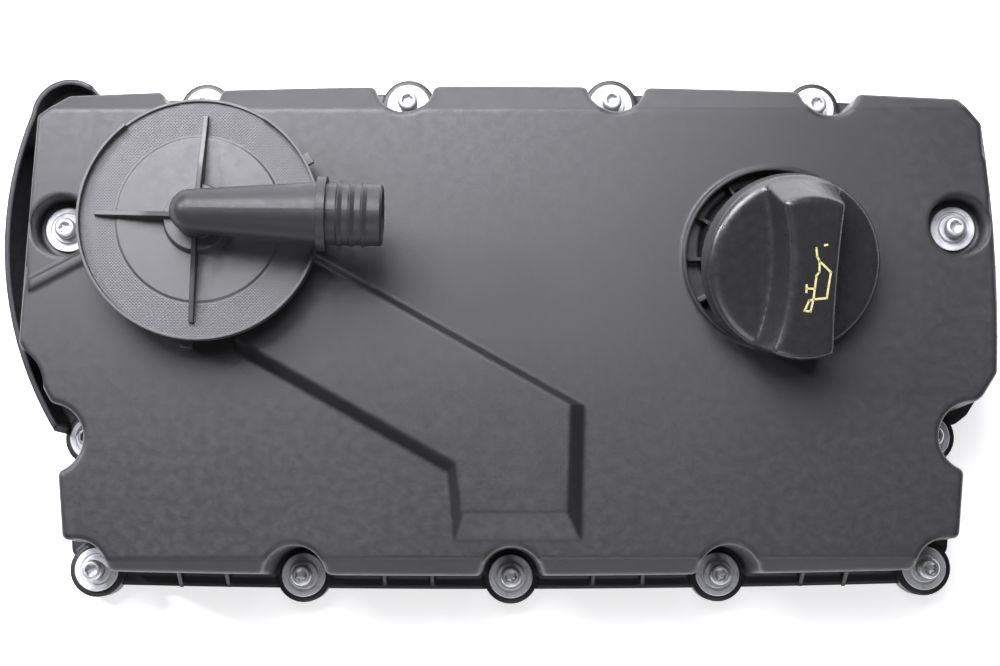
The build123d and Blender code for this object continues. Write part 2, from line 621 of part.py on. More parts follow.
# ------------------------------------------------------------------ breather lid with its spout
BEAD_IN, BEAD_OUT = BEAD_R - BEAD_W / 2, BEAD_R + BEAD_W / 2
SKIRT_IN = BOWL_R + BOWL_WALL + FIT
LID_R = SKIRT_IN + LID_SKIRT_T + LID_EDGE
FACE_H = BOWL_H + LID_T
SPOUT_BORE0, SPOUT_BORE1 = SPOUT_R0 - SPOUT_WALL, HOSE_R - HOSE_WALL
spout_end = SPOUT_LEN + COLLAR_T
with BuildPart() as breather_lid:
    with BuildSketch(breather.offset(BOWL_H)):
        Circle(LID_R)
    extrude(amount=LID_T)
    with BuildSketch(breather.offset(FACE_H)):
        Circle(LID_R)
        Circle(LID_R - LID_RIM_T, mode=Mode.SUBTRACT)
    extrude(amount=LID_RIM_H - LID_T)
    with BuildSketch(breather.offset(FACE_H + RIM_DIP_H)):
        with PolarLocations(0, 1, start_angle=RIM_DIP_AT - BREATHER_TURN):
            add(ring_sector(RIM_DIP, LID_R - 2 * LID_RIM_T, LID_R + LID_RIM_T))
    extrude(amount=LID_RIM_H, mode=Mode.SUBTRACT)
    with BuildSketch(breather.offset(BOWL_H - LID_SKIRT_H)):
        Circle(SKIRT_IN + LID_SKIRT_T)
        Circle(SKIRT_IN, mode=Mode.SUBTRACT)
    extrude(amount=LID_SKIRT_H)
    with BuildSketch(breather.offset(BOWL_H - LID_SKIRT_H)):
        with PolarLocations(
            SKIRT_IN + (CLIP_OUT + LID_SKIRT_T) / 2,
            CLIPS,
            start_angle=CLIPS_FROM,
            angular_range=-CLIPS * CLIP_STEP,
        ):
            Rectangle(CLIP_OUT, CLIP_W)
    extrude(amount=CLIP_T)
    # step and hub of the face, and the skirt that clamps the diaphragm
    with BuildSketch(breather.offset(FACE_H)):
        Circle(LID_STEP_R)
    extrude(amount=LID_STEP_H, taper=60)
    with BuildSketch(breather.offset(FACE_H)):
        Circle(HUB_R)
    extrude(amount=LID_STEP_H + HUB_H, taper=12)
    with BuildSketch(breather.offset(LEDGE_H + BEAD_T)):
        Circle(BEAD_OUT)
        Circle(BEAD_IN, mode=Mode.SUBTRACT)
    extrude(amount=BOWL_H - LEDGE_H - BEAD_T)
    with BuildSketch(breather.offset(LEDGE_H + BEAD_T + WINDOW_LIFT)):
        with PolarLocations(BEAD_R, WINDOWS):
            Rectangle(3 * BEAD_W, WINDOW_W)
    extrude(amount=WINDOW_H, mode=Mode.SUBTRACT)
    # ribs of the face, high at the hub
    for quarter in (90, 180, 270):
        rib = radians(quarter + RIB_TURN)
        rib_way = Vector(cos(rib), sin(rib), 0)
        rib_x = breather.from_local_coords(rib_way) - breather.origin
        rib_face = Plane(origin=breather.origin, x_dir=rib_x, z_dir=rib_x.cross(Vector(0, 0, 1)))
        with BuildSketch(rib_face):
            Polygon(
                (SPOUT_R0 - 1, BOWL_H + LID_T / 2),
                (RIB_OUT, BOWL_H + LID_T / 2),
                (RIB_OUT, FACE_H + RIB_END_H),
                (SPOUT_R0 - 1, FACE_H + RIB_H),
                align=None,
            )
        extrude(amount=RIB_T / 2, both=True)
    # neck, spout, collar and hose connector
    with BuildSketch(breather.offset(BOWL_H)):
        Circle(SPOUT_R0)
    extrude(amount=SPOUT_H)
    with BuildSketch(spout_axis_plane) as spout_section:
        with BuildLine():
            nose = ThreePointArc(
                (-SPOUT_R0, 0),
                (-SPOUT_R0 * cos(radians(45)), SPOUT_R0 * sin(radians(45))),
                (0, SPOUT_R0),
            )
            points = [(SPOUT_LEN, SPOUT_R1), (SPOUT_LEN, COLLAR_R), (spout_end, COLLAR_R)]
            points += [(spout_end, HOSE_R)]
            for barb in (0.8, 1.8, 2.8):
                start = spout_end + barb * BARB_PITCH
                points += [(start, HOSE_R), (start + BARB_H, HOSE_R + BARB_H)]
                points += [(start + BARB_W, HOSE_R)]
            points += [(spout_end + HOSE_LEN - BARB_H, HOSE_R)]
            points += [(spout_end + HOSE_LEN, HOSE_R - BARB_H)]
            points += [(spout_end + HOSE_LEN, 0), (-SPOUT_R0, 0)]
            Polyline(nose @ 1, *points)
        make_face()
    revolve(axis=Axis(spout_axis_plane.origin, spout_dir))
    # suction tube down to the valve seat, and the bores
    with BuildSketch(breather.offset(PLATE_H + PLATE_T + LIFT)):
        Circle(TUBE_R)
    extrude(amount=BOWL_H - PLATE_H - PLATE_T - LIFT)
    with BuildSketch(breather.offset(PLATE_H)):
        Circle(SPOUT_BORE0)
    extrude(amount=BOWL_H + SPOUT_H - PLATE_H, mode=Mode.SUBTRACT)
    with BuildSketch(spout_axis_plane):
        Polygon(
            (0, 0),
            (0, SPOUT_BORE0),
            (SPOUT_LEN, SPOUT_BORE1),
            (spout_end + HOSE_LEN + 1, SPOUT_BORE1),
            (spout_end + HOSE_LEN + 1, 0),
            align=None,
        )
    revolve(axis=Axis(spout_axis_plane.origin, spout_dir), mode=Mode.SUBTRACT)
breather_lid.part.label = "breather_lid"

# ------------------------------------------------------------------ breather valve
with BuildPart() as breather_plate:
    with BuildSketch(breather.offset(PLATE_H)):
        Circle(PLATE_R)
    extrude(amount=PLATE_T)
    chamfer(breather_plate.edges().group_by(Axis.Z)[-1], PLATE_T / 4)
breather_plate.part.label = "breather_plate"

LOOP_MID = (PLATE_R + BEAD_IN) / 2
with BuildPart() as breather_diaphragm:
    with BuildSketch(Plane(origin=breather.origin, x_dir=spout_dir, z_dir=spout_axis_plane.z_dir)):
        with BuildLine():
            loop_out = ThreePointArc(
                (LOOP_MID + LOOP_R, LEDGE_H + BEAD_T / 2),
                (LOOP_MID, LEDGE_H + BEAD_T / 2 - LOOP_R),
                (LOOP_MID - LOOP_R, LEDGE_H + BEAD_T / 2),
            )
            outer_side = Polyline(
                loop_out @ 1,
                (LOOP_MID - LOOP_R, PLATE_H - RUBBER_T),
                (0, PLATE_H - RUBBER_T),
                (0, PLATE_H),
                (LOOP_MID - LOOP_R + RUBBER_T, PLATE_H),
                (LOOP_MID - LOOP_R + RUBBER_T, LEDGE_H + BEAD_T / 2),
            )
            loop_in = ThreePointArc(
                outer_side @ 1,
                (LOOP_MID, LEDGE_H + BEAD_T / 2 - LOOP_R + RUBBER_T),
                (LOOP_MID + LOOP_R - RUBBER_T, LEDGE_H + BEAD_T / 2),
            )
            Polyline(
                loop_in @ 1,
                (LOOP_MID + LOOP_R - RUBBER_T, LEDGE_H + BEAD_T - RUBBER_T / 2),
                (BEAD_IN, LEDGE_H + BEAD_T - RUBBER_T / 2),
                (BEAD_IN, LEDGE_H + BEAD_T),
                (BEAD_OUT, LEDGE_H + BEAD_T),
                (BEAD_OUT, LEDGE_H),
                (BEAD_IN, LEDGE_H),
                (BEAD_IN, LEDGE_H + BEAD_T / 2),
                loop_out @ 0,
            )
        make_face()
    revolve(axis=Axis(breather.origin, (0, 0, 1)))
breather_diaphragm.part.label = "breather_diaphragm"

spring_low = ROOF_Z + PLATE_H + PLATE_T + WIRE_R
spring_high = SEAT_Z - WIRE_R
with BuildPart() as breather_spring:
    with BuildLine():
        coil = Helix(
            pitch=(spring_high - spring_low) / COILS,
            height=spring_high - spring_low,
            radius=SPRING_R,
            center=(BREATHER_X, BREATHER_Y, spring_low),
        )
    with BuildSketch(Plane(origin=coil @ 0, z_dir=coil % 0)):
        Circle(WIRE_R)
    sweep()
breather_spring.part.label = "breather_spring"

# ------------------------------------------------------------------ oil filler cap
SEAL_TOP = NECK_RIM + SEAL_T
CEILING = CAP_TOP - CAP_WALL
CORE_R = KEY_R - RUN
LUG_TOP = KEY_LOW - RUN
with BuildPart() as filler_cap_seal:
    with BuildSketch(filler.offset(NECK_RIM)):
        Circle(SEAL_R)
        Circle(CORE_R + RUN, mode=Mode.SUBTRACT)
    extrude(amount=SEAL_T)
filler_cap_seal.part.label = "filler_cap_seal"

with BuildPart() as filler_cap_core:
    with BuildSketch(filler.offset(LUG_TOP - KEY_T)):
        Circle(CORE_R)
    extrude(amount=CEILING - LUG_TOP + KEY_T)
    with BuildSketch(filler.offset(LUG_TOP - KEY_T)):
        with PolarLocations(0, KEYS):
            add(ring_sector(KEY_ANGLE, CORE_R / 2, NECK_BORE_R - RUN))
    extrude(amount=KEY_T)
    with BuildSketch(filler.offset(SEAL_TOP)):
        Circle(NECK_R + 1)
    extrude(amount=CORE_FLANGE_T)
    with BuildSketch(filler.offset(LUG_TOP - KEY_T - 1)):
        Circle(CORE_R - CORE_WALL)
    extrude(amount=CEILING - LUG_TOP + KEY_T + 2, mode=Mode.SUBTRACT)
filler_cap_core.part.label = "filler_cap_core"


def grip_plan(height, wider, reach, lean=0.0):
    """Waisted outline of the grip bar, at a height above the roof."""
    half, waist = (GRIP_END_W + wider) / 2, (GRIP_WAIST + wider) / 2
    end = sqrt(reach**2 - half**2)
    with BuildSketch(filler.offset(height)) as plan:
        with BuildLine():
            right = ThreePointArc(
                (half, -end - lean), (GRIP_SHIFT + waist, -lean), (half, end - lean)
            )
            far = ThreePointArc(right @ 1, (0, reach - lean), (-half, end - lean))
            left = ThreePointArc(far @ 1, (GRIP_SHIFT - waist, -lean), (-half, -end - lean))
            ThreePointArc(left @ 1, (0, -reach - lean), right @ 0)
        make_face()
    return plan.sketch


with BuildPart() as filler_cap:
    with BuildSketch(filler.offset(CAP_SKIRT)):
        Circle(CAP_R)
    extrude(amount=CAP_TOP - CAP_SKIRT)
    fillet(filler_cap.edges().group_by(Axis(filler.origin, filler_dir))[-1], CAP_ROUND)
    loft(
        sections=[
            grip_plan(CAP_TOP - CAP_ROUND, 2 * GRIP_SLOPE, CAP_R - RUN),
            grip_plan(CAP_TOP + GRIP_H, 0, CAP_R - GRIP_ENDS, GRIP_LEAN),
        ]
    )
    grip_top = filler_cap.faces().sort_by(Axis(filler.origin, filler_dir))[-1]
    fillet(grip_top.edges(), 2.5)
    with BuildSketch(filler.offset(CAP_SKIRT - 1)):
        Circle(CAP_R - CAP_WALL)
    extrude(amount=CEILING - CAP_SKIRT + 1, mode=Mode.SUBTRACT)
    hollow_half = GRIP_WAIST / 2 - CAP_WALL
    hollow_end = sqrt((CORE_R - CORE_WALL) ** 2 - (GRIP_SHIFT + hollow_half) ** 2)
    with BuildSketch(filler.offset(CEILING - 1)):
        with Locations((GRIP_SHIFT, 0)):
            Rectangle(2 * hollow_half, 2 * hollow_end)
    extrude(amount=CAP_TOP + GRIP_H - CAP_WALL - CEILING + 1, mode=Mode.SUBTRACT)
filler_cap.part.label = "filler_cap"

# ------------------------------------------------------------------ files
pieces = [cover_shell, cover_gasket, separator_plate, breather_lid, breather_plate]
pieces += [breather_diaphragm, breather_spring, filler_cap_seal, filler_cap_core, filler_cap]
for piece in pieces:
    export_step(piece.part, f"parts/{piece.part.label}.step")
for group in (bolt_sleeves, bolt_grommets, bolt_washers, flange_bolts, pocket_bolts):
    export_step(group, f"parts/{group.label}.step")
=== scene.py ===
"""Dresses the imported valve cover: finishes, fasteners, filler cap, studio and camera."""

import logging
import math
from dataclasses import dataclass, field
from enum import Enum

import bmesh
import bpy
from mathutils import Matrix, Vector

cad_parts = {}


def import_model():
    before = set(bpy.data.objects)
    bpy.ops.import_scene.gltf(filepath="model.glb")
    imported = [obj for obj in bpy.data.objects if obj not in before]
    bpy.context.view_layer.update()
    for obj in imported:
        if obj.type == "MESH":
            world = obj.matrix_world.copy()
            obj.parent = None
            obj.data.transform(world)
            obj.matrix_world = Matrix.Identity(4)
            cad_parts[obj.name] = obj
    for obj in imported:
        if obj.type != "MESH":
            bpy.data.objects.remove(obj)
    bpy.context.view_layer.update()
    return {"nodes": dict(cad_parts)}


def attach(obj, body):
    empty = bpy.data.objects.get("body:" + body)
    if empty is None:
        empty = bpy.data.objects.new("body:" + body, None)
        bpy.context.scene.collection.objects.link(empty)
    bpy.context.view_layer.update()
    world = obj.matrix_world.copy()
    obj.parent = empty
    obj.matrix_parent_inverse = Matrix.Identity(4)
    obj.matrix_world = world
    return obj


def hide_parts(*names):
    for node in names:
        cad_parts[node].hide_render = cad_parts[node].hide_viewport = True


LOG = logging.getLogger("valve_cover")
MM = 0.001
WELD = 1e-6
Colour = tuple[float, float, float]
Place = tuple[float, float, float]


# --------------------------------------------------------------------------- places
class Body(str, Enum):
    """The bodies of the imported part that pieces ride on."""

    COVER = "cover"
    CAP = "filler_cap"


@dataclass(frozen=True)
class BoltPlan:
    """Where the captive bolts stand, in millimetres."""

    pitch: float = 88.0
    front_steps: tuple[float, ...] = (-2, -1, 0, 1, 2)
    front_row: float = -101.5
    front_bow: float = 3.2
    rear_steps: tuple[float, ...] = (-1.5, -0.5, 0.5, 1.5)
    rear_row: float = 102.2
    rear_bow: float = 1.8
    notch: tuple[float, float] = (179.0, -42.5)
    pocket: tuple[float, float] = (184.0, 42.5)
    pocket_lift: float = 33.0
    pocket_sink: float = 5.5

    def row(self, steps: tuple[float, ...], middle: float, bow: float) -> list[Place]:
        """Return x, y and lift of each bolt in a slightly bowed row.

        Args:
            steps: The bolts' places along the row, in pitches from its middle.
            middle: The row's y at its middle.
            bow: How much further along y its end bolts stand.

        Returns:
            The bolts' places.
        """
        return [
            (step * self.pitch, middle + bow * (step / steps[-1]) ** 2, 0.0) for step in steps
        ]

    def flange(self) -> list[Place]:
        """Return x, y and lift of each bolt on the flange."""
        front = self.row(self.front_steps, self.front_row, self.front_bow)
        rear = self.row(self.rear_steps, self.rear_row, -self.rear_bow)
        ends = [(side * self.notch[0], self.notch[1], 0.0) for side in (-1, 1)]
        return front + rear + ends

    def pockets(self) -> list[Place]:
        """Return x, y and lift of each bolt in a deep pocket."""
        return [(side * self.pocket[0], self.pocket[1], self.pocket_lift) for side in (-1, 1)]


# --------------------------------------------------------------------------- finishes
class Nodes:
    """A material's node tree with short calls for its nodes and links."""

    def __init__(self, name: str) -> None:
        """Start an empty material of this name."""
        self.material = bpy.data.materials.new(name)
        self.material.use_nodes = True
        self.tree = self.material.node_tree
        self.shader = self.tree.nodes["Principled BSDF"]
        self.place = self.add("ShaderNodeTexCoord").outputs["Object"]

    def add(self, kind: str, **settings: object) -> bpy.types.Node:
        """Add a node.

        Args:
            kind: The node's type name.
            **settings: Values of the node's own settings.

        Returns:
            The new node.
        """
        node = self.tree.nodes.new(kind)
        for key, value in settings.items():
            setattr(node, key, value)
        return node

    def join(self, source: bpy.types.NodeSocket, target: bpy.types.NodeSocket) -> None:
        """Link one socket to another."""
        self.tree.links.new(source, target)

    def maths(self, operation: str, first: object, second: object = 0.0) -> bpy.types.NodeSocket:
        """Add a maths node.

        Args:
            operation: The operation's name.
            first: A socket or a number.
            second: A socket or a number; an operation on one value leaves it unused.

        Returns:
            The output socket.
        """
        node = self.add("ShaderNodeMath", operation=operation)
        for socket, value in zip(node.inputs, (first, second)):
            if isinstance(value, bpy.types.NodeSocket):
                self.join(value, socket)
            else:
                socket.default_value = value
        return node.outputs["Value"]

    def noise(self, size: float, detail: float = 3.0, rough: float = 0.5) -> bpy.types.NodeSocket:
        """Add noise.

        Args:
            size: Width of its spots in metres.
            detail: How many finer layers it has.
            rough: How strong the finer layers are.

        Returns:
            Its factor socket.
        """
        node = self.add("ShaderNodeTexNoise")
        node.inputs["Scale"].default_value = 1 / size
        node.inputs["Detail"].default_value = detail
        node.inputs["Roughness"].default_value = rough
        self.join(self.place, node.inputs["Vector"])
        return node.outputs["Fac"]

    def spread(
        self, factor: bpy.types.NodeSocket, low: float, high: float, start: float = 0.3, end: float = 0.7
    ) -> bpy.types.NodeSocket:
        """Map a factor smoothly onto a range.

        Args:
            factor: The factor to map.
            low: The value at start and below.
            high: The value at end and above.
            start: Where the factor begins to count.
            end: Where it stops.

        Returns:
            The mapped socket.
        """
        node = self.add("ShaderNodeMapRange", interpolation_type="SMOOTHSTEP")
        self.join(factor, node.inputs["Value"])
        for key, value in (("From Min", start), ("From Max", end), ("To Min", low), ("To Max", high)):
            node.inputs[key].default_value = value
        return node.outputs["Result"]

    def blend(self, factor: object, first: object, second: object) -> bpy.types.NodeSocket:
        """Mix two colours.

        Args:
            factor: A socket or a number.
            first: A socket or an RGB colour.
            second: A socket or an RGB colour.

        Returns:
            The mixed colour's socket.
        """
        node = self.add("ShaderNodeMix", data_type="RGBA")
        for slot, value in ((0, factor), (6, first), (7, second)):
            socket = node.inputs[slot]
            if isinstance(value, bpy.types.NodeSocket):
                self.join(value, socket)
            elif isinstance(value, float):
                socket.default_value = value
            else:
                socket.default_value = (*value, 1.0)
        return node.outputs[2]

    def relief(
        self, height: bpy.types.NodeSocket, depth: float, below: bpy.types.NodeSocket | None = None
    ) -> bpy.types.NodeSocket:
        """Turn a height into a bump.

        Args:
            height: The height from 0 to 1.
            depth: Its full depth in metres.
            below: The normal that it lies on.

        Returns:
            The bumped normal's socket.
        """
        node = self.add("ShaderNodeBump")
        node.inputs["Distance"].default_value = depth
        self.join(height, node.inputs["Height"])
        if below is not None:
            self.join(below, node.inputs["Normal"])
        return node.outputs["Normal"]

    def eased(self, radius: float) -> bpy.types.NodeSocket:
        """Return a normal that rounds sharp edges by a radius in metres."""
        node = self.add("ShaderNodeBevel", samples=6)
        node.inputs["Radius"].default_value = radius
        return node.outputs["Normal"]


@dataclass(frozen=True)
class Plastic:
    """Satin moulded plastic with a fine spark-eroded grain."""

    name: str
    tone: Colour
    pale: float = 1.25
    roughness: float = 0.42
    grain: float = 0.0005
    grain_depth: float = 0.00003
    edge: float = 0.0006
    specular: float = 0.5
    flow_size: float = 0.09
    scuff_size: float = 0.004
    dust: float = 1.5
    dust_lift: float = 0.01

    def start(self) -> tuple[Nodes, bpy.types.NodeSocket]:
        """Return the node sheet and the grained normal, with colour and roughness linked."""
        sheet = Nodes(self.name)
        flow = sheet.noise(self.flow_size, 2.0)
        scuff = sheet.noise(self.scuff_size, 6.0, 0.7)
        light = tuple(channel * self.pale for channel in self.tone)
        body = sheet.blend(sheet.spread(flow, 0.0, 1.0), self.tone, light)
        dusty = tuple(channel * self.dust + self.dust_lift for channel in self.tone)
        tone = sheet.blend(sheet.spread(scuff, 0.0, 0.35, 0.55, 0.8), body, dusty)
        sheet.join(tone, sheet.shader.inputs["Base Color"])
        sheet.join(
            sheet.spread(scuff, self.roughness - 0.05, self.roughness + 0.07, 0.35, 0.7),
            sheet.shader.inputs["Roughness"],
        )
        sheet.shader.inputs["Specular IOR Level"].default_value = self.specular
        normal = sheet.relief(sheet.noise(self.grain, 2.0), self.grain_depth, sheet.eased(self.edge))
        return sheet, normal

    def material(self) -> bpy.types.Material:
        """Return the finished material."""
        sheet, normal = self.start()
        sheet.join(normal, sheet.shader.inputs["Normal"])
        return sheet.material


@dataclass(frozen=True)
class LinedPlastic(Plastic):
    """Moulded plastic with a fine cross-lined ring on its face and a spout darkened by painted shade."""

    centre: tuple[float, float] = (-0.1245, 0.0414)
    ring: tuple[float, float] = (0.0345, 0.0471)
    ring_fade: float = 0.0004
    pitch: float = 0.0009
    line_depth: float = 0.00004
    face_z: float = 0.0818
    spout_z: float = 0.0875
    spout_fade: float = 0.002
    # Painted shade: the darker base colour of the spout, which is the same plastic as the disc.
    spout_shade_tone: Colour = (0.024, 0.0243, 0.026)
    spout_sheen: float = 0.4

    def paint_spout_shade(self, sheet: Nodes, height: bpy.types.NodeSocket) -> None:
        """Paint shade on what stands above the face: a darker base colour (painted shade) and lower
        sheen.

        Args:
            sheet: The material's node sheet.
            height: The Z of each point.
        """
        # Painted shade: everything above spout_z is darkened to stand in for the shade on the spout's
        # low side.
        rise = sheet.spread(height, 0.0, 1.0, self.spout_z, self.spout_z + self.spout_fade)
        base = sheet.shader.inputs["Base Color"]
        sheet.join(sheet.blend(rise, base.links[0].from_socket, self.spout_shade_tone), base)
        sheen = sheet.spread(rise, self.specular, self.spout_sheen, 0.0, 1.0)
        sheet.join(sheen, sheet.shader.inputs["Specular IOR Level"])

    def cross_lines(
        self, sheet: Nodes, place: tuple[bpy.types.NodeSocket, ...]
    ) -> bpy.types.NodeSocket:
        """Draw the crossed lines of the ring.

        Args:
            sheet: The material's node sheet.
            place: The X, Y and Z of each point.

        Returns:
            The lines' height socket.
        """
        x = sheet.maths("SUBTRACT", place[0], self.centre[0])
        y = sheet.maths("SUBTRACT", place[1], self.centre[1])
        square = sheet.maths("ADD", sheet.maths("MULTIPLY", x, x), sheet.maths("MULTIPLY", y, y))
        away = sheet.maths("SQRT", square)
        inner, outer = self.ring
        inside = sheet.spread(away, 0.0, 1.0, inner - self.ring_fade, inner)
        outside = sheet.spread(away, 1.0, 0.0, outer, outer + self.ring_fade)
        turns = 2 * math.pi / (self.pitch * math.sqrt(2))
        waves = [
            sheet.maths("SINE", sheet.maths("MULTIPLY", sheet.maths(sign, x, y), turns))
            for sign in ("ADD", "SUBTRACT")
        ]
        low = sheet.maths("LESS_THAN", place[2], self.face_z)
        mask = sheet.maths("MULTIPLY", sheet.maths("MULTIPLY", inside, outside), low)
        return sheet.maths("MULTIPLY", sheet.maths("MAXIMUM", waves[0], waves[1]), mask)

    def material(self) -> bpy.types.Material:
        """Return the finished material."""
        sheet, normal = self.start()
        split = sheet.add("ShaderNodeSeparateXYZ")
        sheet.join(sheet.place, split.inputs[0])
        self.paint_spout_shade(sheet, split.outputs[2])
        lines = self.cross_lines(sheet, tuple(split.outputs))
        sheet.join(sheet.relief(lines, self.line_depth, normal), sheet.shader.inputs["Normal"])
        return sheet.material


@dataclass(frozen=True)
class Zinc:
    """Bright zinc plate over turned steel."""

    name: str
    tone: Colour = (0.66, 0.67, 0.69)
    dull: Colour = (0.42, 0.43, 0.45)
    roughness: float = 0.3
    metallic: float = 0.85
    stain_size: float = 0.006
    grain: float = 0.0007
    grain_depth: float = 0.00002
    edge: float = 0.0002

    def material(self) -> bpy.types.Material:
        """Return the finished material."""
        sheet = Nodes(self.name)
        stain = sheet.noise(self.stain_size, 5.0, 0.65)
        sheet.join(
            sheet.blend(sheet.spread(stain, 0.0, 0.8, 0.45, 0.75), self.tone, self.dull),
            sheet.shader.inputs["Base Color"],
        )
        sheet.join(
            sheet.spread(stain, self.roughness - 0.06, self.roughness + 0.14),
            sheet.shader.inputs["Roughness"],
        )
        sheet.shader.inputs["Metallic"].default_value = self.metallic
        grain = sheet.relief(sheet.noise(self.grain, 3.0), self.grain_depth, sheet.eased(self.edge))
        sheet.join(grain, sheet.shader.inputs["Normal"])
        return sheet.material


@dataclass(frozen=True)
class Rubber:
    """Matt black rubber with a faint bloom."""

    name: str
    tone: Colour = (0.014, 0.014, 0.015)
    bloom: float = 2.4
    bloom_size: float = 0.003
    roughness: float = 0.68
    grain: float = 0.0006
    grain_depth: float = 0.00004
    edge: float = 0.0003

    def material(self) -> bpy.types.Material:
        """Return the finished material."""
        sheet = Nodes(self.name)
        bloomed = tuple(channel * self.bloom for channel in self.tone)
        patches = sheet.spread(sheet.noise(self.bloom_size, 5.0), 0.0, 1.0)
        sheet.join(sheet.blend(patches, self.tone, bloomed), sheet.shader.inputs["Base Color"])
        sheet.shader.inputs["Roughness"].default_value = self.roughness
        skin = sheet.relief(sheet.noise(self.grain, 2.0), self.grain_depth, sheet.eased(self.edge))
        sheet.join(skin, sheet.shader.inputs["Normal"])
        return sheet.material


@dataclass(frozen=True)
class Ink:
    """Opaque pad-printed ink, a little worn."""

    name: str
    tone: Colour = (0.72, 0.66, 0.3)
    wear: float = 0.6
    wear_size: float = 0.0012
    roughness: float = 0.5

    def material(self) -> bpy.types.Material:
        """Return the finished material."""
        sheet = Nodes(self.name)
        worn = tuple(channel * self.wear for channel in self.tone)
        patches = sheet.spread(sheet.noise(self.wear_size, 4.0), 0.0, 1.0, 0.5, 0.75)
        sheet.join(sheet.blend(patches, self.tone, worn), sheet.shader.inputs["Base Color"])
        sheet.shader.inputs["Roughness"].default_value = self.roughness
        return sheet.material


# --------------------------------------------------------------------------- mesh work
def finished(
    mesh: bmesh.types.BMesh, name: str, material: bpy.types.Material, smooth_below: float = 35.0
) -> bpy.types.Object:
    """Turn a bmesh into a shaded object at the origin.

    Args:
        mesh: The bmesh, in metres; it is freed.
        name: The piece's name.
        material: Its finish.
        smooth_below: Edges flatter than this many degrees are shaded smooth.

    Returns:
        The new object.
    """
    bmesh.ops.remove_doubles(mesh, verts=mesh.verts, dist=WELD)
    bmesh.ops.recalc_face_normals(mesh, faces=mesh.faces)
    limit = math.radians(smooth_below)
    for face in mesh.faces:
        face.smooth = True
    for edge in mesh.edges:
        edge.smooth = len(edge.link_faces) == 2 and edge.calc_face_angle(0.0) < limit
    data = bpy.data.meshes.new(name)
    mesh.to_mesh(data)
    mesh.free()
    data.materials.append(material)
    piece = bpy.data.objects.new(name, data)
    bpy.context.scene.collection.objects.link(piece)
    return piece


def turned(profile: list[tuple[float, float]], steps: int) -> bmesh.types.BMesh:
    """Spin a half section about the Z axis.

    Args:
        profile: Radius and height of each point, in millimetres.
        steps: Facets round the turn.

    Returns:
        The turned bmesh, in metres.
    """
    mesh = bmesh.new()
    row = [mesh.verts.new((r * MM, 0.0, z * MM)) for r, z in profile]
    lines = [mesh.edges.new(pair) for pair in zip(row, row[1:])]
    bmesh.ops.spin(
        mesh,
        geom=row + lines,
        cent=(0, 0, 0),
        axis=(0, 0, 1),
        angle=2 * math.pi,
        steps=steps,
        use_merge=True,
    )
    bmesh.ops.remove_doubles(mesh, verts=mesh.verts, dist=WELD)
    return mesh


def repeated(
    one: bmesh.types.BMesh, places: list[Place], turn_each: float = 23.0
) -> bmesh.types.BMesh:
    """Put a copy of a bmesh on each place.

    Args:
        one: The bmesh to copy; it is freed.
        places: x, y and lift of each copy, in millimetres.
        turn_each: How far each copy is turned past the one before, in degrees.

    Returns:
        One bmesh that holds every copy.
    """
    seed = bpy.data.meshes.new("seed")
    one.to_mesh(seed)
    one.free()
    full = bmesh.new()
    for index, place in enumerate(places):
        before = len(full.verts)
        full.from_mesh(seed)
        full.verts.ensure_lookup_table()
        fresh = full.verts[before:]
        turn = Matrix.Rotation(math.radians(turn_each * index), 4, "Z")
        bmesh.ops.transform(full, matrix=Matrix.Translation(Vector(place) * MM) @ turn, verts=fresh)
    bpy.data.meshes.remove(seed)
    return full


